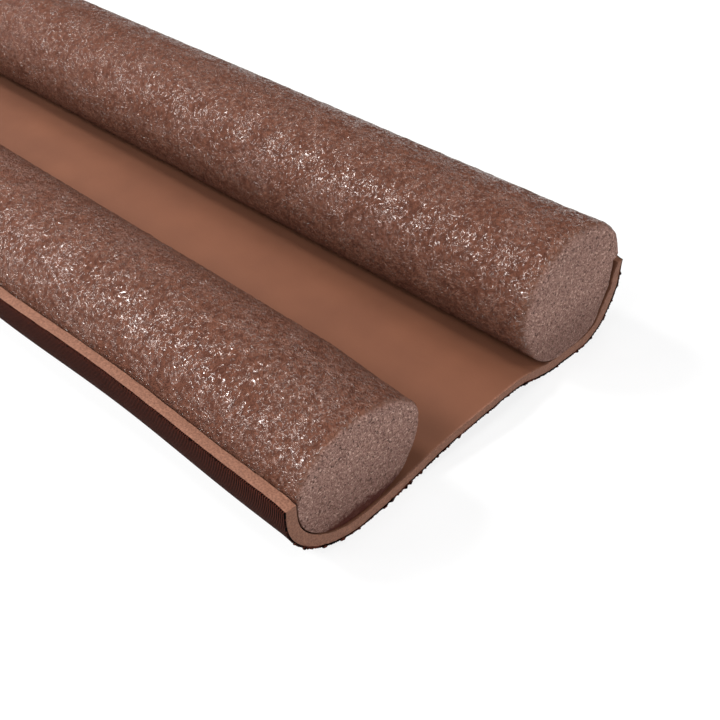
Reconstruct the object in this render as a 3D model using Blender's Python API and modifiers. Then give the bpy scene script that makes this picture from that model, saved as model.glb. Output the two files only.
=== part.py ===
"""Draught excluder for a door: foam rolls lie on one sheet of foam-backed cloth, whose long edges curl up round
the outer sides of the rolls. The door goes into the channel between the rolls. The excluder lies on its back.

X runs along the length, Y from the front roll to the back roll, and Z up. The surface below is Z = 0.
"""

import math
from collections import namedtuple

import bmesh
import bpy

# Driving dimensions, in metres.
LENGTH = 0.930
SHEET_WIDE = 0.0986
SHEET_THICK = 0.0028
EDGE_THICK = 0.8  # share of its thickness that the sheet keeps along its two long edges
REST_GAP = 0.0004  # between a roll and the sheet that it lies on
CUT_ROUND = 0.0005  # rounding of the sheet's cut edges
RIM_ROUND = 0.0011  # rounding of the rolls' cut rims

# The sheet stands up as a wall beside each roll and turns under it as a cradle, a quarter of an ellipse that
# reaches in under the roll and rises to the straight wall.
Cradle = namedtuple("Cradle", "reach rise wall_top")
FRONT_CRADLE = Cradle(0.0160, 0.0131, 0.0172)
BACK_CRADLE = Cradle(0.0124, 0.0114, 0.0193)

# In the channel the sheet arches off the surface.
ARCH_TALL = 0.0042
ARCH_START, ARCH_PEAK, ARCH_END = -0.0220, 0.0110, 0.0295

# y is the middle of the roll and waist the height of its widest place. Shoulder, tuck and under say how square
# its outer top, its side in the cradle and its underside towards the channel are, and 2 is an ellipse. Overhang is
# how far it bulges over the top of its wall. Near each cut end, over the stretch called taper, its top sinks by
# droop above the wall and by sag above the channel.
Roll = namedtuple(
    "Roll",
    "name y half_width waist top shoulder tuck under overhang set_back droop sag taper phase",
)
ROLLS = (
    Roll("front_roll", -0.0311, 0.0153, 0.0163, 0.0286, 2.0, 2.25, 2.25, 0.0, 0.0003, 0.0014, 0.0036, 0.022, 0.4),
    Roll("back_roll", 0.0306, 0.0159, 0.0196, 0.0338, 2.1, 3.4, 2.1, 0.0017, 0.0010, 0.0004, 0.0004, 0.010, 2.1),
)
OVERHANG_RISE = 0.0016  # height over which that bulge grows

# Unevenness of cut foam and cloth that lie free.
CUT_WANDER = 0.0005  # of the sheet's cut ends, in waves of this length
CUT_WAVE = 0.040
WALL_SWAY = 0.0005  # most that a wall leans out
WALL_WANDER = 0.0004  # of a wall's top edge
ROLL_WANDER = 0.0003  # of a roll's top and inner side

# How finely the curved shapes are cut into flat faces.
SHEET_STEPS = 36
CRADLE_STEPS = 8
ARCH_STEPS = 14
ROLL_SIDES = 40
ROLL_STEPS = 28

MID_THICK = SHEET_THICK / 2


def clear_scene():
    for obj in list(bpy.data.objects):
        bpy.data.objects.remove(obj, do_unlink=True)


def material(name, colour, roughness):
    made = bpy.data.materials.new(name)
    made.use_nodes = True
    shader = made.node_tree.nodes["Principled BSDF"]
    shader.inputs["Base Color"].default_value = (*colour, 1.0)
    shader.inputs["Roughness"].default_value = roughness
    shader.inputs["Metallic"].default_value = 0.0
    return made


def object_in_scene(name):
    obj = bpy.data.objects.new(name, bpy.data.meshes.new(name))
    bpy.context.collection.objects.link(obj)
    return obj


def round_cut_edges(obj, width):
    rounded = obj.modifiers.new("cut edges", "BEVEL")
    rounded.width = width
    rounded.segments = 2
    rounded.limit_method = "ANGLE"
    rounded.angle_limit = math.radians(60)


def ripple(x, phase):
    """A slow wander between -1 and 1 along the length."""
    return 0.6 * math.sin(11.0 * x + phase) + 0.4 * math.sin(29.0 * x + 2.3 * phase)


def smooth(share):
    """0 to 1 with a level start and end."""
    share = min(max(share, 0.0), 1.0)
    return 0.5 - 0.5 * math.cos(math.pi * share)


def arch_height(y):
    """How far the sheet stands off the surface at this place in the channel."""
    if y < ARCH_PEAK:
        return ARCH_TALL * smooth((y - ARCH_START) / (ARCH_PEAK - ARCH_START))
    return ARCH_TALL * smooth((ARCH_END - y) / (ARCH_END - ARCH_PEAK))


def wall_and_cradle(side, cradle):
    """(y, z) down one wall and round under its roll: side is -1 at the front and 1 at the back."""
    wall_y = SHEET_WIDE / 2 - MID_THICK
    turn_z = MID_THICK + cradle.rise
    points = [
        (side * wall_y, cradle.wall_top),
        (side * wall_y, (cradle.wall_top + turn_z) / 2),
    ]
    for step in range(CRADLE_STEPS + 1):
        angle = math.pi / 2 * step / CRADLE_STEPS
        inward = cradle.reach * (1 - math.cos(angle))
        points.append((side * (wall_y - inward), turn_z - cradle.rise * math.sin(angle)))
    return points


def sheet_section():
    """The middle of the sheet's thickness as (y, z), from the front edge to the back edge."""
    points = wall_and_cradle(-1, FRONT_CRADLE)
    for step in range(ARCH_STEPS + 1):
        y = ARCH_START + (ARCH_END - ARCH_START) * step / ARCH_STEPS
        points.append((y, MID_THICK + arch_height(y)))
    points += reversed(wall_and_cradle(1, BACK_CRADLE))
    return points


def cover_sheet():
    """A flat grid whose rows are bent to the section, then given the sheet's thickness."""
    section = sheet_section()
    rows = len(section) - 1
    obj = object_in_scene("cover_sheet")
    full_thickness = obj.vertex_groups.new(name="full thickness")

    shape = bmesh.new()
    weights = shape.verts.layers.deform.verify()
    bmesh.ops.create_grid(shape, x_segments=SHEET_STEPS, y_segments=rows, size=0.5)
    for vert in shape.verts:
        along = 2 * vert.co.x
        y, z = section[round((vert.co.y + 0.5) * rows)]
        in_channel = ARCH_START < y < ARCH_END
        wall = 0.0 if in_channel else smooth((z - MID_THICK) / FRONT_CRADLE.rise)
        wander = math.sin(2 * math.pi * y / CUT_WAVE + 0.3 * along)
        x = along * (LENGTH / 2 + CUT_WANDER * wander)
        z += WALL_WANDER * wall * ripple(x, 5.0 + 40 * y)
        y += math.copysign(WALL_SWAY * wall * (1 + ripple(x, 1.7)) / 2, y)
        vert.co = (x, y, z)
        vert[weights][full_thickness.index] = 1.0 - wall
    shape.to_mesh(obj.data)
    shape.free()

    thickness = obj.modifiers.new("thickness", "SOLIDIFY")
    thickness.thickness = SHEET_THICK
    thickness.offset = 0.0
    thickness.use_even_offset = True
    thickness.vertex_group = full_thickness.name
    thickness.thickness_vertex_group = EDGE_THICK
    round_cut_edges(obj, CUT_ROUND)
    obj.data.materials.append(material("foam-backed cloth", (0.29, 0.115, 0.065), 0.85))


def signed_power(value, power):
    return math.copysign(abs(value) ** power, value)


def roll_point(roll, angle, x):
    """(y, z) on the roll's skin, at this angle round it from +Y."""
    inner_side = math.cos(angle) * roll.y < 0
    if math.sin(angle) < 0:
        squareness = roll.under if inner_side else roll.tuck
    else:
        squareness = 2.0 if inner_side else roll.shoulder
    across = signed_power(math.cos(angle), 2 / squareness)
    upward = signed_power(math.sin(angle), 2 / squareness)

    from_end = LENGTH / 2 - roll.set_back - abs(x)
    inner_share = (1 - math.copysign(across, roll.y * across)) / 2
    sink = roll.droop + (roll.sag - roll.droop) * inner_share
    top = roll.top - sink * (1 - smooth(from_end / roll.taper))
    top += ROLL_WANDER * ripple(x, roll.phase)
    tall = top - roll.waist if upward > 0 else roll.waist - SHEET_THICK - REST_GAP
    z = roll.waist + tall * upward

    half_width = roll.half_width
    if inner_side:
        half_width += ROLL_WANDER * ripple(x, roll.phase + 2)
    else:
        above_wall = z - BACK_CRADLE.wall_top
        half_width += roll.overhang * smooth(above_wall / OVERHANG_RISE)
    return roll.y + half_width * across, z


def foam_roll(roll):
    """A cylinder along X, cut into short stretches and pressed to the roll's section."""
    obj = object_in_scene(roll.name)
    half = LENGTH / 2 - roll.set_back

    shape = bmesh.new()
    bmesh.ops.create_cone(
        shape, cap_ends=True, segments=ROLL_SIDES, radius1=1.0, radius2=1.0, depth=2 * half
    )
    # The stretches get shorter towards the cut ends, where the roll sinks.
    for step in range(1, ROLL_STEPS):
        place = half * math.sin(math.pi / 2 * (2 * step / ROLL_STEPS - 1))
        everything = shape.verts[:] + shape.edges[:] + shape.faces[:]
        bmesh.ops.bisect_plane(
            shape, geom=everything, plane_co=(0, 0, place), plane_no=(0, 0, 1)
        )
    for vert in shape.verts:
        x = vert.co.z
        y, z = roll_point(roll, math.atan2(vert.co.y, vert.co.x), x)
        vert.co = (x, y, z)
    bmesh.ops.recalc_face_normals(shape, faces=shape.faces)
    shape.to_mesh(obj.data)
    shape.free()

    round_cut_edges(obj, RIM_ROUND)
    obj.data.materials.append(material(f"{roll.name} foam", (0.22, 0.105, 0.078), 0.5))


def main():
    clear_scene()
    cover_sheet()
    for roll in ROLLS:
        foam_roll(roll)


main()
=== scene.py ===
import math

import bpy
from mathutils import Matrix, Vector, geometry, noise


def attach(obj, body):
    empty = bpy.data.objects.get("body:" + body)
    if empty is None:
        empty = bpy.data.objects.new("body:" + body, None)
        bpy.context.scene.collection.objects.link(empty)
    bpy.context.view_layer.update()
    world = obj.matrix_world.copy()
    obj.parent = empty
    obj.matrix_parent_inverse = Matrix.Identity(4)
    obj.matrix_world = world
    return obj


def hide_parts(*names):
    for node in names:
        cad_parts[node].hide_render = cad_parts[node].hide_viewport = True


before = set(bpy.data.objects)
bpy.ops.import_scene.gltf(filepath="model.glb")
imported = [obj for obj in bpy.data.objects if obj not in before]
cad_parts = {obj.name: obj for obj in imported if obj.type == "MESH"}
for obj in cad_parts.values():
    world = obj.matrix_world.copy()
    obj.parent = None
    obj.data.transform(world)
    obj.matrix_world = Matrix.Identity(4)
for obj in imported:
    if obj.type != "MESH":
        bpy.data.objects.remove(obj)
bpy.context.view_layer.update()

# -----------------------------------------------------------------------------------------------------------
# Cloth of the cover sheet. The outer side of the one long sheet is dark polyester with fine ribs round the
# section. It is glued to a layer of foam and cut with it, so both follow the same bent section: low under the
# rolls, arched in the channel between them and up beside them in two walls.
# -----------------------------------------------------------------------------------------------------------

LENGTH = 0.930
HALF = LENGTH / 2
SHEET_WIDE = 0.0986
SHEET_THICK = 0.0028
MID_THICK = SHEET_THICK / 2
CLOTH_THICK = 0.0004  # of the sheet's thickness, on its outer side
CLOTH_PROUD = 0.00005  # how far the cloth stands past the foam at each cut end

# The section: how far each cradle reaches in under its roll and rises to its wall, and how tall the wall is.
FRONT_REACH, FRONT_RISE, FRONT_WALL_TOP = 0.0174, 0.0145, 0.0172
BACK_REACH, BACK_RISE, BACK_WALL_TOP = 0.0142, 0.0128, 0.0193
BACK_DENT = 0.0007  # the back cradle is pressed in by this in its upper half, and bulges as much below
ARCH_TALL = 0.0032
ARCH_START, ARCH_PEAK, ARCH_END = -0.0280, 0.0115, 0.0298
CRADLE_STEPS, ARCH_STEPS = 24, 60

# Shares of its thickness that the sheet keeps at its two long edges, and where the channel stretches it.
FRONT_EDGE, BACK_EDGE, CHANNEL_SHARE = 0.95, 0.66, 0.76
EDGE_ZONE = 0.0038  # over this height it gets thinner towards the long edges
BACK_SWELL = 0.2  # beside the back roll it swells by this share
SWELL_LOW, SWELL_HIGH, SWELL_FADE = 0.003, 0.014, 0.004  # between these heights, each faded over the third

# Bends and cuts that are never quite straight.
WAVES = ((0.6, 11.0, 1.0), (0.4, 29.0, 2.3))  # weight, radians per metre and share of the phase
CUT_WANDER, CUT_WAVE, CUT_SKEW = 0.0003, 0.040, 0.3  # of the cut ends: how far, how long and how skewed
WALL_SWAY, SWAY_PHASE = 0.0003, 4.7  # most that a wall leans out
WALL_WANDER, WANDER_PHASE, WANDER_TURN = 0.0003, 5.0, 40.0  # of a wall's top edge
CORNER_REACH = 0.004  # over this stretch the walls' free corners sink, by these amounts
FRONT_CORNER, BACK_CORNER = 0.0005, 0.0007
PRESS, PRESS_FROM_END, PRESS_REACH = 0.0008, 0.050, 0.040  # how far the front wall is pressed in, and where
PRESS_START, PRESS_GROW = 0.016, 0.030  # from this far in front of the middle, growing over this width
RAGGED = 0.00014  # how uneven the knife left the cut edges
RAGGED_SCALE = 420.0  # notches per metre, 2.4 mm apart
RAGGED_LAYERS = (1.0, 2.0, 3)  # how fast the finer notches fade, how much finer each layer is, and how many
EDGE_WALL, EDGE_FADE = 0.9, 0.1  # share of the wall's rise above which its long edge begins

CLOTH_STEPS, CLOTH_ROWS = 420, 80
RIB_PITCH = 0.00048
RIB_FROM = -0.2  # of a wave from -1 to 1, so the ribs are wider than the gaps
RIB_TALL, YARN_TALL = 0.00016, 0.00006
RIB_WAVER, WAVER_SCALE = 5.0, 220.0  # the ribs waver by this many radians, over 4.5 mm
YARN_SCALE, YARN_SHARE = 2400.0, 0.3  # yarns 0.4 mm thick, as real ones are too fine to show, and how dark
# The pale rib colour is painted light along the tops of the ribs. The dark one is the cloth's own colour, left
# in the gaps as painted shade.
RIB_DARK, RIB_TOP_LIGHT, YARN_DARK = "#020000", "#582C21", "#0C0302"

SHARE, FIRST, SECOND, MIXED = 0, 6, 7, 2  # the sockets of a Mix node that mixes colours


def linear(code):
    """An sRGB hex colour as linear RGBA."""
    parts = [int(code[i : i + 2], 16) / 255 for i in (1, 3, 5)]
    return (*[c / 12.92 if c <= 0.04045 else ((c + 0.055) / 1.055) ** 2.4 for c in parts], 1.0)


def add(tree, kind, inputs=(), **settings):
    """Adds a node and returns its outputs. inputs is a dict by socket, or a list in the sockets' own order, of
    values or of the sockets that feed them."""
    node = tree.nodes.new(kind)
    for name, value in settings.items():
        setattr(node, name, value)
    for key, value in inputs.items() if isinstance(inputs, dict) else enumerate(inputs):
        if isinstance(value, bpy.types.NodeSocket):
            tree.links.new(value, node.inputs[key])
        else:
            node.inputs[key].default_value = value
    return node.outputs


def new_material(name):
    """An empty material and its tree."""
    made = bpy.data.materials.new(name)
    made.use_nodes = True
    made.node_tree.nodes.clear()
    return made, made.node_tree


def new_object(name, points, edges=(), faces=()):
    """An object with this mesh, at the origin."""
    mesh = bpy.data.meshes.new(name)
    mesh.from_pydata(points, edges, faces)
    obj = bpy.data.objects.new(name, mesh)
    bpy.context.scene.collection.objects.link(obj)
    return obj


def node_group(name, **inputs):
    """A Geometry Nodes tree that takes the object's own mesh and a material, and inputs named by their type."""
    tree = bpy.data.node_groups.new(name, "GeometryNodeTree")
    tree.interface.new_socket("Geometry", in_out="INPUT", socket_type="NodeSocketGeometry")
    for kind, labels in {**inputs, "Material": ["Material"]}.items():
        for label in labels:
            tree.interface.new_socket(label, in_out="INPUT", socket_type="NodeSocket" + kind)
    tree.interface.new_socket("Geometry", in_out="OUTPUT", socket_type="NodeSocketGeometry")
    return tree


def finish_group(tree, shape, material):
    """Ends a tree with smooth shading, real faces and the piece's material."""
    shape = add(tree, "GeometryNodeSetShadeSmooth", {"Geometry": shape, "Shade Smooth": True})[0]
    shape = add(tree, "GeometryNodeRealizeInstances", {"Geometry": shape})[0]
    shape = add(tree, "GeometryNodeSetMaterial", {"Geometry": shape, "Material": material})[0]
    add(tree, "NodeGroupOutput", {"Geometry": shape})


def grow(obj, tree, values):
    """Runs a tree on the object and keeps the result as the object's plain mesh."""
    modifier = obj.modifiers.new(tree.name, "NODES")
    modifier.node_group = tree
    for item in tree.interface.items_tree:
        if item.in_out == "INPUT" and item.name in values:
            modifier[item.identifier] = values[item.name]
    settle(obj)


def settle(obj):
    """Keeps the evaluated mesh as the object's plain mesh and takes its modifiers off."""
    bpy.context.view_layer.update()
    evaluated = obj.evaluated_get(bpy.context.evaluated_depsgraph_get())
    mesh = bpy.data.meshes.new_from_object(evaluated)
    obj.modifiers.clear()
    old = obj.data
    obj.data = mesh
    bpy.data.meshes.remove(old)
    mesh.name = obj.name


def ripple(x, phase):
    """A slow wander between -1 and 1 along the length."""
    return sum(weight * math.sin(turn * x + shift * phase) for weight, turn, shift in WAVES)


def smooth(share):
    """0 to 1 with a level start and end."""
    share = min(max(share, 0.0), 1.0)
    return 0.5 - 0.5 * math.cos(math.pi * share)


def arch_height(y):
    """How far the sheet stands off the surface at this place in the channel."""
    if y < ARCH_PEAK:
        return ARCH_TALL * smooth((y - ARCH_START) / (ARCH_PEAK - ARCH_START))
    return ARCH_TALL * smooth((ARCH_END - y) / (ARCH_END - ARCH_PEAK))


def wall_and_cradle(side, reach, rise, wall_top, dent):
    """(y, z) down one wall and round under its roll: side is -1 at the front and 1 at the back."""
    wall_y = SHEET_WIDE / 2
    points = [(side * wall_y, wall_top), (side * wall_y, (wall_top + rise) / 2)]
    for step in range(CRADLE_STEPS + 1):
        angle = math.pi / 2 * step / CRADLE_STEPS
        inward = reach * (1 - math.cos(angle)) + dent * math.sin(4 * angle)
        points.append((side * (wall_y - inward), rise * (1 - math.sin(angle))))
    return points


def thick_share(y, z):
    """How much of its full thickness the sheet has at this place of its section."""
    if ARCH_START < y < ARCH_END:
        return 1 - (1 - CHANNEL_SHARE) * smooth(arch_height(y) / ARCH_TALL)
    edge, top, swell = (FRONT_EDGE, FRONT_WALL_TOP, 0.0) if y < 0 else (BACK_EDGE, BACK_WALL_TOP, BACK_SWELL)
    swell = swell * smooth((z - SWELL_LOW) / SWELL_FADE) * smooth((SWELL_HIGH - z) / SWELL_FADE)
    return 1 + swell - (1 - edge) * smooth(1 - (top - z) / EDGE_ZONE)


def sheet_section():
    """The sheet's outer side as (0, y, z), from the front edge to the back edge."""
    points = wall_and_cradle(-1, FRONT_REACH, FRONT_RISE, FRONT_WALL_TOP, 0.0)
    for step in range(ARCH_STEPS + 1):
        y = ARCH_START + (ARCH_END - ARCH_START) * step / ARCH_STEPS
        points.append((y, arch_height(y) + SHEET_THICK * (1 - thick_share(y, 0.0))))
    points += reversed(wall_and_cradle(1, BACK_REACH, BACK_RISE, BACK_WALL_TOP, BACK_DENT))
    return [(0.0, y, z) for y, z in points]


def section_at(depth):
    """The section's line at this depth under the outer side, without its two end points."""
    line = [Vector(point) for point in section]
    moved = []
    for before, here, after in zip(line, line[1:], line[2:]):
        inward = Vector((1, 0, 0)).cross((after - before).normalized())
        moved.append(here + inward * depth * thick_share(here.y, here.z))
    return moved


def bent_layer_tree():
    """A block of many small faces, laid along the length and bent to the line that the object's mesh draws."""
    tree = node_group(
        "layer bent to the section",
        Float=["Length", "Outer face", "Inner face"],
        Int=["Steps", "Rows"],
    )
    given = add(tree, "NodeGroupInput")
    line = add(tree, "GeometryNodeMeshToCurve", {"Mesh": given["Geometry"]})[0]
    block = add(
        tree,
        "GeometryNodeMeshCube",
        {"Size": (1, 1, 1), "Vertices X": given["Steps"], "Vertices Y": given["Rows"], "Vertices Z": 2},
    )["Mesh"]
    here = add(tree, "GeometryNodeInputPosition")[0]
    place = add(tree, "ShaderNodeSeparateXYZ", [here])

    # Steps crowd towards the two cut ends, where the sheet is seen from close by.
    turned = add(tree, "ShaderNodeMath", [place["X"], math.pi], operation="MULTIPLY")[0]
    share = add(tree, "ShaderNodeMath", [turned], operation="SINE")[0]
    half = add(tree, "ShaderNodeMath", [given["Length"], 0.5], operation="MULTIPLY")[0]
    along = add(tree, "ShaderNodeMath", [share, half], operation="MULTIPLY")[0]

    # Each point goes to its place on the line, then into the sheet by its depth.
    factor = add(tree, "ShaderNodeMath", [place["Y"], 0.5], operation="ADD")[0]
    thick = add(
        tree, "GeometryNodeInputNamedAttribute", {"Name": "thick_share"}, data_type="FLOAT"
    )["Attribute"]
    sample = add(
        tree,
        "GeometryNodeSampleCurve",
        {"Curves": line, "Value": thick, "Factor": factor},
        mode="FACTOR",
        data_type="FLOAT",
    )
    on_section = add(tree, "ShaderNodeSeparateXYZ", [sample["Position"]])
    inward = add(
        tree, "ShaderNodeVectorMath", [(1, 0, 0), sample["Tangent"]], operation="CROSS_PRODUCT"
    )[0]
    depth = add(
        tree, "ShaderNodeMapRange", [place["Z"], -0.5, 0.5, given["Outer face"], given["Inner face"]]
    )[0]
    depth = add(tree, "ShaderNodeMath", [depth, sample["Value"]], operation="MULTIPLY")[0]
    offset = add(tree, "ShaderNodeVectorMath", {0: inward, "Scale": depth}, operation="SCALE")[0]
    on_line = add(tree, "ShaderNodeCombineXYZ", [along, on_section["Y"], on_section["Z"]])[0]
    bent = add(tree, "ShaderNodeVectorMath", [on_line, offset], operation="ADD")[0]
    shape = add(tree, "GeometryNodeSetPosition", {"Geometry": block, "Position": bent})[0]
    finish_group(tree, shape, given["Material"])
    return tree


def wall_share(y, z):
    """0 in the channel and on the surface, 1 up in a wall."""
    if ARCH_START < y < ARCH_END:
        return 0.0
    return smooth((z - MID_THICK) / (FRONT_RISE - MID_THICK))


def pressed_in(x, y):
    """Near the visible end the front wall, and the roll beside it, are pressed in towards the channel."""
    along = smooth(1 - abs(HALF - x - PRESS_FROM_END) / PRESS_REACH)
    return y + PRESS * along * smooth((-y - PRESS_START) / PRESS_GROW)


def cut_wander(x, y):
    """How far the knife had strayed outwards as it cut the end here."""
    return CUT_WANDER * math.sin(2 * math.pi * y / CUT_WAVE + CUT_SKEW * x / HALF)


def swayed(x, y, z):
    """Moves a place on the straight sheet to where its slow bends and its uneven cuts put it."""
    wall = wall_share(y, z)
    end = smooth((abs(x) - HALF) / CORNER_REACH + 1)
    edge = max(end, smooth((wall - EDGE_WALL) / EDGE_FADE))
    x *= 1 + cut_wander(x, y) / HALF
    z += WALL_WANDER * wall * ripple(x, WANDER_PHASE + WANDER_TURN * y)
    y += math.copysign(WALL_SWAY * wall * (1 + ripple(x, SWAY_PHASE)) / 2, y)
    z -= (BACK_CORNER if y > 0 else FRONT_CORNER) * wall * end * end
    rough = RAGGED * noise.fractal(Vector((x, y, z)) * RAGGED_SCALE, *RAGGED_LAYERS)
    return x + math.copysign(end * rough, x), pressed_in(x, y), z + (edge - end) * rough


def make_ribbed_cloth():
    """Polyester, knitted with ribs: dull and nearly black. Painted light makes thin brown lines along the tops
    of the ribs, and the gaps between them stay dark as painted shade.
    """
    made, tree = new_material("ribbed polyester cloth")
    place = add(tree, "ShaderNodeTexCoord")["Object"]
    x = add(tree, "ShaderNodeSeparateXYZ", [place])["X"]
    waver = add(tree, "ShaderNodeTexNoise", {"Vector": place, "Scale": WAVER_SCALE, "Detail": 1.0})[0]
    turn = add(tree, "ShaderNodeMath", [x, 2 * math.pi / RIB_PITCH], operation="MULTIPLY")[0]
    bent = add(tree, "ShaderNodeMath", [waver, RIB_WAVER, turn], operation="MULTIPLY_ADD")[0]
    wave = add(tree, "ShaderNodeMath", [bent], operation="SINE")[0]
    rib = add(tree, "ShaderNodeMapRange", [wave, RIB_FROM, 1.0])[0]
    yarn = add(tree, "ShaderNodeTexNoise", {"Vector": place, "Scale": YARN_SCALE, "Detail": 2.0})[0]
    some = add(tree, "ShaderNodeMath", [yarn, YARN_SHARE], operation="MULTIPLY")[0]
    colour = linear(RIB_DARK)
    # The ribs' tops get painted light and their gaps stay dark as painted shade. The yarn specks are the yarn's
    # own tone.
    for share, code in ((rib, RIB_TOP_LIGHT), (some, YARN_DARK)):
        layers = {SHARE: share, FIRST: colour, SECOND: linear(code)}
        colour = add(tree, "ShaderNodeMix", layers, data_type="RGBA")[MIXED]
    fine = add(tree, "ShaderNodeBump", {"Height": yarn, "Distance": YARN_TALL, "Strength": 0.6})[0]
    ribs = add(
        tree, "ShaderNodeBump", {"Height": rib, "Distance": RIB_TALL, "Strength": 1.0, "Normal": fine}
    )[0]
    # An IOR of 1.5 is typical for polyester. The fuzz of its yarns leaves hardly any shine.
    shader = add(
        tree,
        "ShaderNodeBsdfPrincipled",
        {"Base Color": colour, "Roughness": 0.95, "IOR": 1.5, "Specular IOR Level": 0.05, "Normal": ribs},
    )[0]
    add(tree, "ShaderNodeOutputMaterial", {"Surface": shader})
    return made


def section_line(name):
    """An object that draws the section as a line and knows how thick the sheet is along it."""
    line = new_object(name, section, [(i, i + 1) for i in range(len(section) - 1)])
    share = line.data.attributes.new("thick_share", "FLOAT", "POINT")
    share.data.foreach_set("value", [thick_share(y, z) for x, y, z in section])
    return line


section = sheet_section()
layer_tree = bent_layer_tree()
ribbed_cloth = make_ribbed_cloth()

sheet_cloth = section_line("sheet_cloth")
grow(
    sheet_cloth,
    layer_tree,
    {
        "Length": LENGTH + 2 * CLOTH_PROUD,
        "Outer face": 0.0,
        "Inner face": CLOTH_THICK,
        "Steps": CLOTH_STEPS,
        "Rows": CLOTH_ROWS,
        "Material": ribbed_cloth,
    },
)
for vert in sheet_cloth.data.vertices:
    vert.co = swayed(*vert.co)
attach(sheet_cloth, "root")

# -----------------------------------------------------------------------------------------------------------
# Yarn ends. Where the cloth is cut, its yarns fray and the hot knife melts some of them into small beads, all
# along the two ends and, finer, at every rib along the two long edges.
# -----------------------------------------------------------------------------------------------------------

END_SPACING = 0.00045
KEPT_SHARE = 0.8  # of the yarns still show at the cut
SMALL_TUFT, LARGE_TUFT = 0.00016, 0.00045
FEW_LARGE = 5.0  # the higher this power, the fewer tufts are large
TUFT_LEAN, TUFT_FLAT = 0.6, 0.8
TUFT_SIDES, TUFT_RINGS = 6, 4
END_SAG = 0.35  # how much the yarns hang down where they stick out of the two ends
EDGE_OUT, EDGE_UP = 0.2, 0.6  # which way they stick out of the long edges, where they are also shorter
LONG_EDGE_STEPS, CORNER_STEPS = 1200, 2  # points along a long edge, and how many its corners leave out


def cut_line_points(depth):
    """Points on the cloth's four cut edges, the lines that join them, and which way the yarns stick out."""
    points, edges, ways = [], [], []

    def run(places, way):
        start = len(points)
        for place in places:
            points.append(swayed(*place))
            ways.append(way)
        edges.extend((i, i + 1) for i in range(start, len(points) - 1))

    for side in (-1, 1):
        ends = [(side * (HALF + CLOTH_PROUD), place.y, place.z) for place in section_at(depth)]
        run(ends, (side, 0.0, -END_SAG))
    steps = range(CORNER_STEPS, LONG_EDGE_STEPS - CORNER_STEPS + 1)
    for side, top, share in ((-1, FRONT_WALL_TOP, FRONT_EDGE), (1, BACK_WALL_TOP, BACK_EDGE)):
        y = section[0 if side < 0 else -1][1] - side * depth * share
        places = [(LENGTH * (step / LONG_EDGE_STEPS - 0.5), y, top) for step in steps]
        run(places, (0.0, side * EDGE_OUT, EDGE_UP))
    return points, edges, ways


def yarn_tree():
    """Small blunt tufts along the lines that the object's mesh draws."""
    tree = node_group(
        "yarn ends along a cut",
        Float=["Spacing", "Kept share", "Smallest", "Largest", "Lean"],
        Int=["Sides", "Seed"],
    )
    given = add(tree, "NodeGroupInput")
    line = add(tree, "GeometryNodeMeshToCurve", {"Mesh": given["Geometry"]})[0]
    spots = add(
        tree, "GeometryNodeCurveToPoints", {"Curve": line, "Length": given["Spacing"]}, mode="LENGTH"
    )["Points"]
    kept = add(
        tree,
        "FunctionNodeRandomValue",
        {"Probability": given["Kept share"], "Seed": given["Seed"]},
        data_type="BOOLEAN",
    )[3]

    # Each tuft points out of the cut and leans a little to one side.
    out = add(
        tree, "GeometryNodeInputNamedAttribute", {"Name": "out"}, data_type="FLOAT_VECTOR"
    )["Attribute"]
    lean = add(
        tree,
        "FunctionNodeRandomValue",
        {"Min": (-1, -1, -1), "Max": (1, 1, 1), "Seed": given["Seed"]},
        data_type="FLOAT_VECTOR",
    )[0]
    lean = add(tree, "ShaderNodeVectorMath", {0: lean, "Scale": given["Lean"]}, operation="SCALE")[0]
    way = add(tree, "ShaderNodeVectorMath", [out, lean], operation="ADD")[0]
    turned = add(tree, "FunctionNodeAlignRotationToVector", {"Vector": way}, axis="Z")[0]

    # Most tufts are small and a few are large.
    chance = add(
        tree, "FunctionNodeRandomValue", {2: 0.0, 3: 1.0, "Seed": given["Seed"]}, data_type="FLOAT"
    )[1]
    few = add(tree, "ShaderNodeMath", [chance, FEW_LARGE], operation="POWER")[0]
    size = add(tree, "ShaderNodeMapRange", [few, 0.0, 1.0, given["Smallest"], given["Largest"]])[0]
    strength = add(tree, "ShaderNodeVectorMath", [out], operation="LENGTH")["Value"]
    size = add(tree, "ShaderNodeMath", [size, strength], operation="MULTIPLY")[0]
    bead = add(
        tree,
        "GeometryNodeMeshUVSphere",
        {"Segments": given["Sides"], "Rings": TUFT_RINGS, "Radius": 1.0},
    )["Mesh"]
    tuft = add(tree, "GeometryNodeTransform", {"Geometry": bead, "Scale": (1.0, 1.0, TUFT_FLAT)})[0]
    placed = add(
        tree,
        "GeometryNodeInstanceOnPoints",
        {"Points": spots, "Selection": kept, "Instance": tuft, "Rotation": turned, "Scale": size},
    )[0]
    finish_group(tree, placed, given["Material"])
    return tree


points, edges, ways = cut_line_points(CLOTH_THICK / 4)
cloth_yarns = new_object("cloth_yarn_ends", points, edges)
out_of_cut = cloth_yarns.data.attributes.new("out", "FLOAT_VECTOR", "POINT")
out_of_cut.data.foreach_set("vector", [number for way in ways for number in way])
grow(
    cloth_yarns,
    yarn_tree(),
    {
        "Spacing": END_SPACING,
        "Kept share": KEPT_SHARE,
        "Smallest": SMALL_TUFT,
        "Largest": LARGE_TUFT,
        "Lean": TUFT_LEAN,
        "Sides": TUFT_SIDES,
        "Seed": 11,
        "Material": ribbed_cloth,
    },
)
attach(cloth_yarns, "root")

# -----------------------------------------------------------------------------------------------------------
# Foam side of the cover sheet: soft closed-cell foam, 2.4 mm thick, glued to the cloth. Its upper face keeps
# the smooth skin that it was cast with. Its cut ends and long edges are open and rougher.
# -----------------------------------------------------------------------------------------------------------

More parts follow.
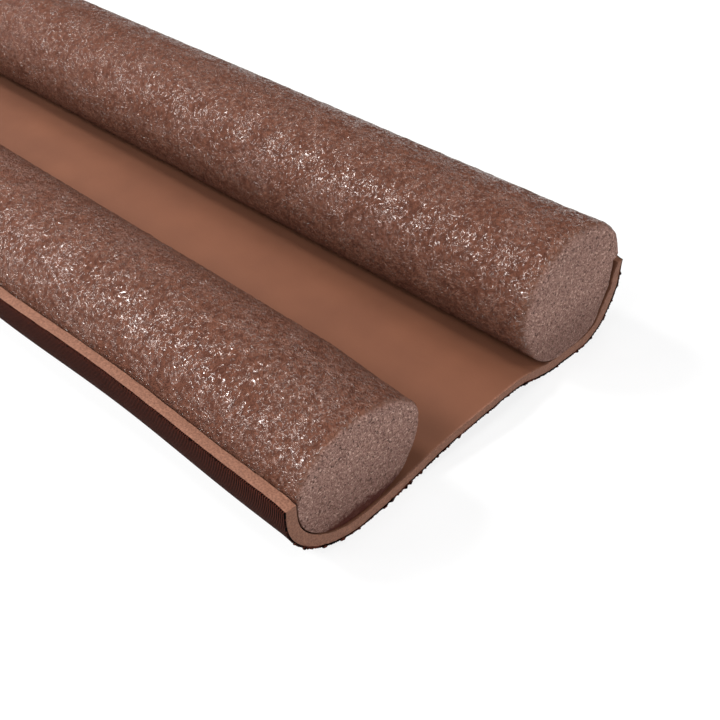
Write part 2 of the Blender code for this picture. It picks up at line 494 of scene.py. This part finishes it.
FOAM_STEPS, FOAM_ROWS = 500, 90
GLUE_GAP = 0.00002  # keeps the two layers' faces apart
CUT_ROUND, CUT_SEGMENTS = 0.0005, 3  # rounding of the foam's cut edges
SHARP = math.radians(60)
WALL_FROM = 0.036  # from the middle, where the cradles turn into walls
DIMPLE, DIMPLE_SCALE = 0.00012, 90.0  # soft dents in the channel, 11 mm apart
DIMPLE_FADE = 5.0  # how quickly they end where a wall begins
CAST_DARK, CAST_PALE = "#5A331F", "#6D412A"
SAWN_DARK, SAWN_PALE = "#5B3828", "#855A46"
CLOUD_SCALE, GRAIN_SCALE = 70.0, 1500.0  # cloudy patches 14 mm across, and a grain of 0.7 mm
OPEN_CELL_SCALE = 2600.0  # open cells 0.4 mm wide, because real ones of 0.2 mm are too fine to show
CLOUD_TALL, CAST_GRAIN, SAWN_GRAIN = 0.0012, 0.00004, 0.0003


def make_cast_foam():
    """Closed-cell foam: dull, soft and even where it was cast, open and paler where it was cut."""
    made, tree = new_material("cast closed-cell foam")
    place = add(tree, "ShaderNodeTexCoord")["Object"]
    cut = add(tree, "ShaderNodeAttribute", attribute_name="cut")["Fac"]
    clouds = add(tree, "ShaderNodeTexNoise", {"Vector": place, "Scale": CLOUD_SCALE, "Detail": 3.0})[0]
    grain = add(tree, "ShaderNodeTexNoise", {"Vector": place, "Scale": GRAIN_SCALE, "Detail": 2.0})[0]
    cells = add(tree, "ShaderNodeTexVoronoi", {"Vector": place, "Scale": OPEN_CELL_SCALE})["Distance"]
    faces = []
    for share, dark, pale in ((clouds, CAST_DARK, CAST_PALE), (cells, SAWN_DARK, SAWN_PALE)):
        layers = {SHARE: share, FIRST: linear(dark), SECOND: linear(pale)}
        faces.append(add(tree, "ShaderNodeMix", layers, data_type="RGBA")[MIXED])
    layers = {SHARE: cut, FIRST: faces[0], SECOND: faces[1]}
    colour = add(tree, "ShaderNodeMix", layers, data_type="RGBA")[MIXED]
    depth = add(tree, "ShaderNodeMapRange", [cut, 0.0, 1.0, CAST_GRAIN, SAWN_GRAIN])[0]
    fine = add(tree, "ShaderNodeBump", {"Height": grain, "Distance": depth, "Strength": 0.6})[0]
    soft = add(
        tree, "ShaderNodeBump", {"Height": clouds, "Distance": CLOUD_TALL, "Strength": 0.25, "Normal": fine}
    )[0]
    # An IOR of 1.5 is typical for rubbery foam. Its soft skin has only a faint, wide sheen.
    shader = add(
        tree,
        "ShaderNodeBsdfPrincipled",
        {"Base Color": colour, "Roughness": 0.8, "IOR": 1.5, "Specular IOR Level": 0.4, "Normal": soft},
    )[0]
    add(tree, "ShaderNodeOutputMaterial", {"Surface": shader})
    return made


def mark_cut(obj):
    """Stores on each point how far it lies on a cut face of the sheet."""
    layer = obj.data.attributes.new("cut", "FLOAT", "POINT")
    values = []
    for vert in obj.data.vertices:
        x, y, z = vert.co
        end = smooth((abs(x) - cut_wander(x, y) - HALF) / CUT_ROUND + 1)
        wall_top = FRONT_WALL_TOP if y < 0 else BACK_WALL_TOP
        edge = smooth((z - wall_top) / CUT_ROUND + 2) if abs(y) > WALL_FROM else 0.0
        values.append(max(end, edge))
    layer.data.foreach_set("value", values)


sheet_foam = section_line("sheet_foam")
grow(
    sheet_foam,
    layer_tree,
    {
        "Length": LENGTH,
        "Outer face": CLOTH_THICK + GLUE_GAP,
        "Inner face": SHEET_THICK,
        "Steps": FOAM_STEPS,
        "Rows": FOAM_ROWS,
        "Material": make_cast_foam(),
    },
)
rounded = sheet_foam.modifiers.new("cut edges", "BEVEL")
rounded.width = CUT_ROUND
rounded.segments = CUT_SEGMENTS
rounded.limit_method = "ANGLE"
rounded.angle_limit = SHARP
settle(sheet_foam)
for vert in sheet_foam.data.vertices:
    x, y, z = swayed(*vert.co)
    flat = max(0.0, 1 - DIMPLE_FADE * wall_share(y, z))
    dent = DIMPLE * flat * max(0.0, noise.noise(Vector((x, y, 0.0)) * DIMPLE_SCALE))
    vert.co = (x, y, z - dent)
mark_cut(sheet_foam)
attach(sheet_foam, "root")
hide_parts("cover_sheet")

# -----------------------------------------------------------------------------------------------------------
# The two rolls are rods of extruded polyethylene foam, cut square. Their skin is crinkled and glossy, and the
# cut ends show the fine matte cells. Each lies pressed into the cradle that the sheet makes for it.
# -----------------------------------------------------------------------------------------------------------

# y is the middle of a roll and waist the height of its widest place. Shoulder, tuck and under say how square
# its outer top, its side in the cradle and its underside towards the channel are, and 2 is an ellipse. Overhang
# is how far it bulges over the top of its wall.
FRONT_SIZE = {
    "y": -0.0311,
    "half_width": 0.0153,
    "waist": 0.0163,
    "top": 0.0286,
    "shoulder": 2.0,
    "tuck": 3.2,
    "under": 2.25,
    "overhang": 0.0,
}
BACK_SIZE = {
    "y": 0.0304,
    "half_width": 0.0156,
    "waist": 0.0196,
    "top": 0.0330,
    "shoulder": 2.0,
    "tuck": 5.0,
    "under": 1.8,
    "overhang": 0.0024,
}

# Near each cut end, over the stretch called taper, a roll's top sinks by droop above the wall and by sag above
# the channel. Rim is the rounding of the cut rim where the roll lies free.
FRONT_ENDS = {"Rim": 0.0012, "Droop": 0.0014, "Sag": 0.0036, "Taper": 0.022, "Seed": 1.0}
BACK_ENDS = {"Rim": 0.0018, "Droop": -0.0004, "Sag": -0.0004, "Taper": 0.010, "Seed": 2.0}
FRONT_SET_BACK, BACK_SET_BACK = 0.0001, 0.0  # from the sheet's cut ends
REST_GAP = 0.00015  # between a roll and the sheet that it lies on
OUTLINE_POINTS = 180
ROLL_STEPS, ROLL_SIDES, CAP_RINGS = 1000, 240, 16
OVERHANG_RISE = 0.0010  # height over which a roll bulges out above its wall
RIM_UNDER = 0.0002  # rounding of a cut rim in the cradle
CHANNEL_LOW, CHANNEL_HIGH = 0.004, 0.009  # heights between which the rim gets rounder towards the channel
WALL_BELOW, WALL_ABOVE = 0.0010, 0.0030  # and the same beside the wall, measured from its top
LUMPS, LUMP_SCALE = 0.0004, 330.0  # 3 mm apart
CRINKLES, CRINKLE_SCALE = 0.0003, 900.0  # 1.1 mm apart

# The skin's wrinkles: seeds, and ridges per metre, 0.9 and 0.6 mm apart. Each ridge is about 0.3 mm wide, and
# finer ones, which the real skin has too, are too fine to show.
WRINKLES = ((0.0, 1150.0), (7.0, 1750.0))
WRINKLE_WIDTH = 0.10  # share of the noise's range that a ridge takes up on each side
WRINKLE_TALL = 0.00012
CREST_FROM, CREST_FULL = 0.15, 0.75  # how far up a ridge its glossy crest starts, and where it is full
WHOLE_FROM, WHOLE_FULL = 0.41, 0.53  # noise values between which a crest isn't interrupted
WARP, WARP_SCALE = 0.0012, 500.0  # how far the wrinkles bend to and fro, over 2 mm

# Patterns in the foam: seed, features per metre, layers of finer detail.
PATTERNS = {
    "knife": (3.0, 750.0, 2.0),  # 1.3 mm, how unevenly the skin ends at the cut
    "patches": (1.0, 210.0, 2.0),  # 5 mm, skin with more and with less gloss
    "breaks": (4.0, 1050.0, 1.0),  # 1 mm, where a wrinkle's glossy crest is interrupted
    "sparks": (2.0, 2600.0, 1.0),  # 0.4 mm, small glossy specks between the wrinkles
    "mottle": (9.0, 900.0, 2.0),  # 1.1 mm, darker and paler skin
    "glinting cell walls": (5.0, 2300.0, 1.0),  # 0.4 mm, cell walls with painted highlights
    "pits": (6.0, 1700.0, 1.0),  # 0.6 mm, cells torn open by the knife, painted dark as the shade inside them
    "crumbs_and_shade": (8.0, 1000.0, 2.0),  # 1 mm, the ragged edge of the dark band of crumbs and painted shade
}
SHOWN = {  # the noise values between which a pattern comes in
    "patches": (0.40, 0.55),
    "sparks": (0.60, 0.68),
    "mottle": (0.3, 0.7),
    "glinting cell walls": (0.57, 0.70),
    "pits": (0.40, 0.30),
}
CELL_SCALE = 4200.0  # cells per metre, 0.24 mm wide
CELL_TALL, SPARK_TALL = 0.00016, 0.00004

# Round the cut rim, counted in roundings from the cut face: how much the knife's wavering moves each zone, and
# the distances between which the zone comes in.
RIM_ZONES = {"skin": (1.2, 0.15, 0.7), "cut face": (0.8, 0.5, 0.0), "pale rim band": (2.0, 1.4, 0.4)}
RIM_PALENESS = 0.3  # how much paler the band round the cut rim is
PAINTED_GLINT_SHARE = 0.12  # how much paler a painted highlight makes the glossy crests
PATCH_GLOSS = 0.6  # how much the patches matter to where a crest is interrupted
GLINT_AND_PIT_SHADE = 0.8  # strength of the painted highlights on the cell walls and of the painted shade in the pits
SHADE_HIGH, SHADE_LOW, SHADE = 0.021, 0.004, 0.5  # painted shade: the cut face darkens downwards between these heights
CRUMB_HIGH, CRUMB_LOW, CRUMB_RAGGED = 0.0072, 0.0042, 0.005  # crumbs and painted shade at the foot of the front roll's cut face, which fade over this distance in front of the middle
CRUMB_FADE = 0.01  # which fade over this distance in front of the middle

# The crest colour is a painted highlight on the glossy crests.
SKIN_DARK, SKIN_PALE, PAINTED_GLINT, RIM = "#47281D", "#5D392B", "#A87F6D", "#7A5646"
# The pale cell wall colour is a painted highlight, and the pit colour is painted shade inside torn cells.
CELL_DARK, CELL_PALE, CELL_GLINT, PIT_SHADE = "#5D4037", "#9E7C71", "#C4A496", "#331D17"
# Both colours are painted shade: the cut face darker low down, and the dark band at the front roll's foot,
# which also holds crumbs.
PAINTED_FACE_SHADE, CRUMB_AND_SHADE = "#4A2E26", "#3C170E"


def signed_power(value, power):
    """A power that keeps the value's sign."""
    return math.copysign(abs(value) ** power, value)


def roll_outline(y, half_width, waist, top, shoulder, tuck, under, overhang, wall_top):
    """A roll's outline as (0, y, z), turning from +Y up and over."""
    points = []
    for step in range(OUTLINE_POINTS):
        angle = 2 * math.pi * step / OUTLINE_POINTS
        inner_side = math.cos(angle) * y < 0
        if math.sin(angle) < 0:
            squareness = under if inner_side else tuck
        else:
            squareness = 2.0 if inner_side else shoulder
        across = signed_power(math.cos(angle), 2 / squareness)
        upward = signed_power(math.sin(angle), 2 / squareness)
        tall = top - waist if upward > 0 else waist - SHEET_THICK - REST_GAP
        z = waist + tall * upward
        bulge = 0.0 if inner_side else overhang * smooth((z - wall_top - WALL_WANDER / 2) / OVERHANG_RISE)
        points.append((0.0, y + (half_width + bulge) * across, z))
    return points


def pressed_to_sheet(outline, y, z):
    """Pulls an outline in towards its middle (y, z) wherever it would reach into the sheet."""
    middle = Vector((y, z))
    sheet = [point.yz for point in section_at(SHEET_THICK + REST_GAP)]
    kept = []
    for point in outline:
        spoke = Vector(point).yz - middle
        for start, end in zip(sheet, sheet[1:]):
            hit = geometry.intersect_line_line_2d(middle, middle + spoke, start, end)
            if hit:
                spoke = hit - middle
        kept.append((0.0, *(middle + spoke)))
    return kept


def roll_tree():
    """A cylinder of many small faces with a lumpy skin, pressed to the outline that the object's mesh draws."""
    tree = node_group(
        "rod pressed to the outline",
        Vector=["Middle"],
        Float=[
            "Half length", "Half width", "Side", "Top", "Wall top", "Rim",
            "Droop", "Sag", "Taper", "Lumps", "Crinkles", "Seed",
        ],
        Int=["Steps", "Sides", "Rings"],
    )
    given = add(tree, "NodeGroupInput")
    outline = add(tree, "GeometryNodeMeshToCurve", {"Mesh": given["Geometry"]})[0]
    rod = add(
        tree,
        "GeometryNodeMeshCylinder",
        {
            "Vertices": given["Sides"],
            "Side Segments": given["Steps"],
            "Fill Segments": given["Rings"],
            "Radius": 1.0,
            "Depth": 2.0,
        },
        fill_type="TRIANGLE_FAN",
    )["Mesh"]
    here = add(tree, "GeometryNodeInputPosition")[0]
    place = add(tree, "ShaderNodeSeparateXYZ", [here])

    # Steps crowd towards the cut ends.
    turned = add(tree, "ShaderNodeMath", [place["Z"], math.pi / 2], operation="MULTIPLY")[0]
    share = add(tree, "ShaderNodeMath", [turned], operation="SINE")[0]
    along = add(tree, "ShaderNodeMath", [share, given["Half length"]], operation="MULTIPLY")[0]
    away = add(tree, "ShaderNodeMath", [along], operation="ABSOLUTE")[0]
    from_end = add(tree, "ShaderNodeMath", [given["Half length"], away], operation="SUBTRACT")[0]

    # Where on the outline this point belongs, and how far out from the middle.
    angle = add(tree, "ShaderNodeMath", [place["Y"], place["X"]], operation="ARCTAN2")[0]
    turns = add(tree, "ShaderNodeMath", [angle, 1 / (2 * math.pi)], operation="MULTIPLY")[0]
    factor = add(tree, "ShaderNodeMath", [turns, 1.0, 0.0], operation="WRAP")[0]
    on_outline = add(
        tree, "GeometryNodeSampleCurve", {"Curves": outline, "Factor": factor}, mode="FACTOR"
    )["Position"]
    spoke = add(tree, "ShaderNodeVectorMath", [on_outline, given["Middle"]], operation="SUBTRACT")[0]
    reach = add(tree, "ShaderNodeVectorMath", [spoke], operation="LENGTH")["Value"]
    flat = add(tree, "ShaderNodeCombineXYZ", [place["X"], place["Y"]])[0]
    out = add(tree, "ShaderNodeVectorMath", [flat], operation="LENGTH")["Value"]
    middle_z = add(tree, "ShaderNodeSeparateXYZ", [given["Middle"]])["Z"]
    outline_z = add(tree, "ShaderNodeSeparateXYZ", [on_outline])["Z"]

    # 0 at the side towards the channel and 1 at the side beside the wall.
    spoke_y = add(tree, "ShaderNodeSeparateXYZ", [spoke])["Y"]
    across = add(tree, "ShaderNodeMath", [spoke_y, given["Side"]], operation="MULTIPLY")[0]
    inner = add(tree, "ShaderNodeMath", [given["Half width"], -1.0], operation="MULTIPLY")[0]
    wall_side = add(tree, "ShaderNodeMapRange", [across, inner, given["Half width"]])[0]

    # 0 where the roll lies in its cradle and 1 where it lies free. The free rim is rounder.
    low = add(tree, "ShaderNodeMath", [given["Wall top"], WALL_BELOW], operation="SUBTRACT")[0]
    low = add(tree, "ShaderNodeMapRange", [wall_side, 0.0, 1.0, CHANNEL_LOW, low])[0]
    high = add(tree, "ShaderNodeMath", [given["Wall top"], WALL_ABOVE], operation="ADD")[0]
    high = add(tree, "ShaderNodeMapRange", [wall_side, 0.0, 1.0, CHANNEL_HIGH, high])[0]
    free = add(tree, "ShaderNodeMapRange", [outline_z, low, high], interpolation_type="SMOOTHSTEP")[0]
    rim = add(tree, "ShaderNodeMapRange", [free, 0.0, 1.0, RIM_UNDER, given["Rim"]])[0]

    # A quarter circle rounds the rim: the spoke gets shorter by what the circle leaves out.
    past_rim = add(tree, "ShaderNodeMath", [from_end, rim], operation="DIVIDE")[0]
    close = add(tree, "ShaderNodeMapRange", [past_rim, 0.0, 1.0, 1.0, 0.0])[0]
    square = add(tree, "ShaderNodeMath", [close, close], operation="MULTIPLY")[0]
    rest = add(tree, "ShaderNodeMath", [1.0, square], operation="SUBTRACT")[0]
    root = add(tree, "ShaderNodeMath", [rest], operation="SQRT")[0]
    missing = add(tree, "ShaderNodeMath", [1.0, root], operation="SUBTRACT")[0]
    inset = add(tree, "ShaderNodeMath", [missing, rim], operation="MULTIPLY")[0]
    inset = add(tree, "ShaderNodeMath", [inset, reach], operation="DIVIDE")[0]
    kept = add(tree, "ShaderNodeMath", [1.0, inset], operation="SUBTRACT")[0]
    kept = add(tree, "ShaderNodeMath", [kept, out], operation="MULTIPLY")[0]
    spoke = add(tree, "ShaderNodeVectorMath", {0: spoke, "Scale": kept}, operation="SCALE")[0]
    point = add(tree, "ShaderNodeVectorMath", [spoke, given["Middle"]], operation="ADD")[0]
    point = add(tree, "ShaderNodeSeparateXYZ", [point])

    # Near the cut ends the top sinks, by another amount on each side.
    start = add(tree, "ShaderNodeMath", [given["Half length"], given["Taper"]], operation="SUBTRACT")[0]
    near = add(
        tree, "ShaderNodeMapRange", [away, start, given["Half length"]], interpolation_type="SMOOTHSTEP"
    )[0]
    above = add(tree, "ShaderNodeMapRange", [point["Z"], middle_z, given["Top"]])[0]
    sink = add(tree, "ShaderNodeMapRange", [wall_side, 0.0, 1.0, given["Sag"], given["Droop"]])[0]
    for share in (near, above):
        sink = add(tree, "ShaderNodeMath", [sink, share], operation="MULTIPLY")[0]
    z = add(tree, "ShaderNodeMath", [point["Z"], sink], operation="SUBTRACT")[0]
    pressed = add(tree, "ShaderNodeCombineXYZ", [along, point["Y"], z])[0]
    shape = rod
    for name, value in (("past_rim", past_rim), ("free", free)):
        shape = add(
            tree,
            "GeometryNodeStoreNamedAttribute",
            {"Geometry": shape, "Name": name, "Value": value},
            data_type="FLOAT",
            domain="POINT",
        )[0]
    shape = add(tree, "GeometryNodeSetPosition", {"Geometry": shape, "Position": pressed})[0]

    # Lumps and crinkles stand out along the surface's own normal where the roll lies free.
    here = add(tree, "GeometryNodeInputPosition")[0]
    normal = add(tree, "GeometryNodeInputNormal")[0]
    raised = 0.0
    for scale, height in ((LUMP_SCALE, given["Lumps"]), (CRINKLE_SCALE, given["Crinkles"])):
        bumps = add(
            tree,
            "ShaderNodeTexNoise",
            {"Vector": here, "W": given["Seed"], "Scale": scale, "Detail": 1.0},
            noise_dimensions="4D",
        )[0]
        level = add(tree, "ShaderNodeMath", [bumps, 0.5], operation="SUBTRACT")[0]
        raised = add(tree, "ShaderNodeMath", [level, height, raised], operation="MULTIPLY_ADD")[0]
    free = add(tree, "GeometryNodeInputNamedAttribute", {"Name": "free"}, data_type="FLOAT")["Attribute"]
    raised = add(tree, "ShaderNodeMath", [raised, free], operation="MULTIPLY")[0]
    relief = add(tree, "ShaderNodeVectorMath", {0: normal, "Scale": raised}, operation="SCALE")[0]
    shape = add(tree, "GeometryNodeSetPosition", {"Geometry": shape, "Offset": relief})[0]
    finish_group(tree, shape, given["Material"])
    return tree


def make_roll_foam():
    """Polyethylene foam: a thin glossy skin with curved wrinkles, and a cut face of fine matte cells."""
    made, tree = new_material("extruded polyethylene foam")
    place = add(tree, "ShaderNodeTexCoord")["Object"]
    where = add(tree, "ShaderNodeSeparateXYZ", [place])
    pattern, shown = {}, {}
    for name, (seed, scale, detail) in PATTERNS.items():
        pattern[name] = add(
            tree,
            "ShaderNodeTexNoise",
            {"Vector": place, "W": seed, "Scale": scale, "Detail": detail},
            noise_dimensions="4D",
        )[0]
    for name, (low, high) in SHOWN.items():
        shown[name] = add(
            tree, "ShaderNodeMapRange", [pattern[name], low, high], interpolation_type="SMOOTHSTEP"
        )[0]

    # The zones round the cut rim, whose borders waver as the knife did.
    past_rim = add(tree, "ShaderNodeAttribute", attribute_name="past_rim")["Fac"]
    waver = add(tree, "ShaderNodeMath", [pattern["knife"], 0.5], operation="SUBTRACT")[0]
    for name, (moved, low, high) in RIM_ZONES.items():
        border = add(tree, "ShaderNodeMath", [waver, moved, past_rim], operation="MULTIPLY_ADD")[0]
        shown[name] = add(
            tree, "ShaderNodeMapRange", [border, low, high], interpolation_type="SMOOTHSTEP"
        )[0]

    # Wrinkles run along the lines where a noise crosses its middle value, in coordinates that are bent.
    warp = add(tree, "ShaderNodeTexNoise", {"Vector": place, "Scale": WARP_SCALE, "Detail": 1.0})["Color"]
    bent = add(tree, "ShaderNodeVectorMath", [warp, (WARP, WARP, WARP), place], operation="MULTIPLY_ADD")[0]
    wrinkles = 0.0
    for seed, scale in WRINKLES:
        field = add(
            tree,
            "ShaderNodeTexNoise",
            {"Vector": bent, "W": seed, "Scale": scale, "Detail": 0.0},
            noise_dimensions="4D",
        )[0]
        off = add(tree, "ShaderNodeMath", [field, 0.5], operation="SUBTRACT")[0]
        off = add(tree, "ShaderNodeMath", [off], operation="ABSOLUTE")[0]
        ridge = add(
            tree,
            "ShaderNodeMapRange",
            [off, 0.0, WRINKLE_WIDTH, 1.0, 0.0],
            interpolation_type="SMOOTHSTEP",
        )[0]
        wrinkles = add(tree, "ShaderNodeMath", [wrinkles, ridge], operation="MAXIMUM")[0]

    # Only the wrinkles' crests and some specks are glossy, so light breaks up into short glints.
    level = add(tree, "ShaderNodeMath", [pattern["patches"], 0.5], operation="SUBTRACT")[0]
    broken = [level, PATCH_GLOSS, pattern["breaks"]]
    broken = add(tree, "ShaderNodeMath", broken, operation="MULTIPLY_ADD")[0]
    glossy = []
    for limits in ([wrinkles, CREST_FROM, CREST_FULL], [broken, WHOLE_FROM, WHOLE_FULL]):
        glossy.append(add(tree, "ShaderNodeMapRange", limits, interpolation_type="SMOOTHSTEP")[0])
    crest = add(tree, "ShaderNodeMath", glossy, operation="MULTIPLY")[0]
    sparks = add(tree, "ShaderNodeMath", [shown["sparks"], shown["patches"]], operation="MULTIPLY")[0]
    crest = add(tree, "ShaderNodeMath", [crest, sparks], operation="MAXIMUM")[0]
    crest = add(tree, "ShaderNodeMath", [crest, shown["skin"]], operation="MULTIPLY")[0]
    gloss = add(tree, "ShaderNodeMapRange", [crest, 0.0, 0.5], interpolation_type="SMOOTHSTEP")[0]

    # Painted shade makes the cut face darker low down, and a dark band of crumbs and painted shade lies at the
    # foot of the front roll's.
    level = add(tree, "ShaderNodeMath", [pattern["crumbs_and_shade"], 0.5], operation="SUBTRACT")[0]
    crumbs_and_shade = add(tree, "ShaderNodeMath", [level, CRUMB_RAGGED, where["Z"]], operation="MULTIPLY_ADD")[0]
    for name, value, start, full in (
        ("crumbs_and_shade", crumbs_and_shade, CRUMB_HIGH, CRUMB_LOW),
        ("front", where["Y"], 0.0, -CRUMB_FADE),
        ("shade", where["Z"], SHADE_HIGH, SHADE_LOW),
    ):
        shown[name] = add(
            tree, "ShaderNodeMapRange", [value, start, full], interpolation_type="SMOOTHSTEP"
        )[0]
    crumbs_and_shade = add(tree, "ShaderNodeMath", [shown["crumbs_and_shade"], shown["front"]], operation="MULTIPLY")[0]

    # Colours are laid over each other, each as strongly as its share says.
    cells = add(tree, "ShaderNodeTexVoronoi", {"Vector": place, "Scale": CELL_SCALE})
    speck = add(tree, "ShaderNodeSeparateXYZ", [cells["Color"]])["X"]
    over_skin = (
        (shown["mottle"], 1.0, SKIN_PALE),
        # The crests' paler colour is a painted highlight, on top of their real gloss.
        (crest, PAINTED_GLINT_SHARE, PAINTED_GLINT),
        (shown["pale rim band"], RIM_PALENESS, RIM),
    )
    over_cells = (
        (speck, 1.0, CELL_PALE),
        (shown["glinting cell walls"], GLINT_AND_PIT_SHADE, CELL_GLINT),
        (shown["pits"], GLINT_AND_PIT_SHADE, PIT_SHADE),
        # Painted shade: the cut face is darker low down.
        (shown["shade"], SHADE, PAINTED_FACE_SHADE),
        # Crumbs with painted shade at the foot of the front roll's cut face.
        (crumbs_and_shade, 1.0, CRUMB_AND_SHADE),
    )
    sides = []
    for base, overlays in ((SKIN_DARK, over_skin), (CELL_DARK, over_cells)):
        colour = linear(base)
        for share, strength, code in overlays:
            if strength < 1:
                share = add(tree, "ShaderNodeMath", [share, strength], operation="MULTIPLY")[0]
            layers = {SHARE: share, FIRST: colour, SECOND: linear(code)}
            colour = add(tree, "ShaderNodeMix", layers, data_type="RGBA")[MIXED]
        sides.append(colour)
    layers = {SHARE: shown["cut face"], FIRST: sides[0], SECOND: sides[1]}
    colour = add(tree, "ShaderNodeMix", layers, data_type="RGBA")[MIXED]

    # Relief too fine for the mesh: wrinkles and specks on the skin, cells and pits on the cut face.
    wrinkle_height = add(tree, "ShaderNodeMath", [wrinkles, shown["skin"]], operation="MULTIPLY")[0]
    cell_height = add(tree, "ShaderNodeMath", [cells["Distance"], shown["pits"]], operation="SUBTRACT")[0]
    cell_height = add(tree, "ShaderNodeMath", [cell_height, shown["cut face"]], operation="MULTIPLY")[0]
    bump = {}
    for height, distance, strength in (
        (wrinkle_height, WRINKLE_TALL, 1.0),
        (pattern["sparks"], SPARK_TALL, 0.6),
        (cell_height, CELL_TALL, 0.8),
    ):
        bump |= {"Height": height, "Distance": distance, "Strength": strength}
        bump["Normal"] = add(tree, "ShaderNodeBump", bump)[0]

    # 1.51 is polyethylene's IOR. The coat is the gloss of the crests, and all the rest is nearly matte.
    shader = add(
        tree,
        "ShaderNodeBsdfPrincipled",
        {
            "Base Color": colour,
            "Roughness": 0.8,
            "IOR": 1.51,
            "Specular IOR Level": 0.12,
            "Normal": bump["Normal"],
            "Coat Weight": gloss,
            "Coat Roughness": 0.15,
            "Coat IOR": 1.6,
            "Coat Normal": bump["Normal"],
        },
    )[0]
    add(tree, "ShaderNodeOutputMaterial", {"Surface": shader})
    return made


rod_tree = roll_tree()
roll_foam = make_roll_foam()
for name, node, side, size, wall_top, set_back, ends in (
    ("front_roll_foam", "front_roll", -1.0, FRONT_SIZE, FRONT_WALL_TOP, FRONT_SET_BACK, FRONT_ENDS),
    ("back_roll_foam", "back_roll", 1.0, BACK_SIZE, BACK_WALL_TOP, BACK_SET_BACK, BACK_ENDS),
):
    outline = roll_outline(**size, wall_top=wall_top)
    outline = pressed_to_sheet(outline, size["y"], size["waist"])
    roll = new_object(name, outline, [(i, (i + 1) % len(outline)) for i in range(len(outline))])
    grow(
        roll,
        rod_tree,
        {
            "Half length": HALF - set_back,
            "Half width": size["half_width"],
            "Side": side,
            "Steps": ROLL_STEPS,
            "Sides": ROLL_SIDES,
            "Rings": CAP_RINGS,
            "Middle": (0.0, size["y"], size["waist"]),
            "Top": size["top"],
            "Wall top": wall_top,
            "Lumps": LUMPS,
            "Crinkles": CRINKLES,
            "Material": roll_foam,
            **ends,
        },
    )
    for vert in roll.data.vertices:
        vert.co.y = pressed_in(vert.co.x, vert.co.y)
    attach(roll, "root")
    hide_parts(node)

# -----------------------------------------------------------------------------------------------------------
# Studio: a white floor that glows with painted light, which keeps the shadows faint, and soft lights round the
# visible end and the camera.
# -----------------------------------------------------------------------------------------------------------

LIT_POINT = Vector((0.42, 0.0, 0.01))
FAR, NEAR = 1.3, 0.7
SOFT, SMALL = 0.45, 0.14
LIGHTS = (  # name, azimuth and elevation in degrees, distance, size, watts
    ("end_light", 0, 22, FAR, SOFT, 4.8),
    ("high_end_light", 10, 50, FAR, SOFT, 3.2),
    ("front_light", 270, 50, FAR, SOFT, 4.6),
    ("low_front_light", 270, 22, FAR, SOFT, 2.8),
    ("top_light", 90, 75, FAR, SOFT, 3.8),
    ("back_light", 130, 50, FAR, SOFT, 1.1),
    ("back_fill", 50, 22, FAR, SOFT, 2.6),
    ("key", 225, 40, NEAR, SMALL, 3.7),
    ("high_key", 200, 52, NEAR, SMALL, 3.2),
    ("low_key", 245, 30, NEAR, SMALL, 1.2),
)
FLOOR_HALF = 6
WHITE = (1.0, 1.0, 1.0, 1.0)
# The floor's grey base and its glow. The glow is painted light that keeps the floor white and fills the
# shadows.
FLOOR_GREY, FLOOR_GLOW = "#6E6E6E", 0.8
ROOM_GLOW = 0.07
EYE = (0.5501, -0.1216, 0.1402)
EYE_DOWN, EYE_TURN = 39.382, 43.471  # degrees below level, and from +Y towards -X
LENS, SENSOR = 51.1, 36.0  # in mm
NEAREST, FARTHEST = 0.01, 20.0  # what the camera still sees


def soft_light(name, azimuth, elevation, distance, size, watts):
    """A square light that looks at the visible end. Azimuth is from +X towards +Y."""
    lamp = bpy.data.lights.new(name, "AREA")
    lamp.shape = "SQUARE"
    lamp.size = size
    lamp.energy = watts
    obj = bpy.data.objects.new(name, lamp)
    bpy.context.scene.collection.objects.link(obj)
    turn, rise = math.radians(azimuth), math.radians(elevation)
    way = Vector((math.cos(rise) * math.cos(turn), math.cos(rise) * math.sin(turn), math.sin(rise)))
    obj.location = LIT_POINT + way * distance
    obj.rotation_euler = way.to_track_quat("Z", "Y").to_euler()


for light in LIGHTS:
    soft_light(*light)

corners = [(x * FLOOR_HALF, y * FLOOR_HALF, 0) for x, y in ((-1, -1), (1, -1), (1, 1), (-1, 1))]
floor = new_object("floor", corners, faces=[(0, 1, 2, 3)])
# The floor's glow is painted light: it keeps the floor white and fills the shadows.
glowing_floor, glowing_floor_tree = new_material("white floor with painted glow")
glowing_floor_shader = add(
    glowing_floor_tree,
    "ShaderNodeBsdfPrincipled",
    {
        "Base Color": linear(FLOOR_GREY),
        "Roughness": 0.9,
        "Emission Color": WHITE,
        "Emission Strength": FLOOR_GLOW,
    },
)[0]
add(glowing_floor_tree, "ShaderNodeOutputMaterial", {"Surface": glowing_floor_shader})
floor.data.materials.append(glowing_floor)

world = bpy.data.worlds.new("studio")
bpy.context.scene.world = world
world.use_nodes = True
world.node_tree.nodes["Background"].inputs["Color"].default_value = WHITE
world.node_tree.nodes["Background"].inputs["Strength"].default_value = ROOM_GLOW

eye = bpy.data.cameras.new("camera")
eye.lens = LENS
eye.sensor_width = SENSOR
eye.clip_start = NEAREST
eye.clip_end = FARTHEST
camera = bpy.data.objects.new("camera", eye)
bpy.context.scene.collection.objects.link(camera)
camera.location = EYE
camera.rotation_euler = (math.radians(90 - EYE_DOWN), 0.0, math.radians(EYE_TURN))
bpy.context.scene.camera = camera
bpy.context.scene.view_settings.view_transform = "Standard"
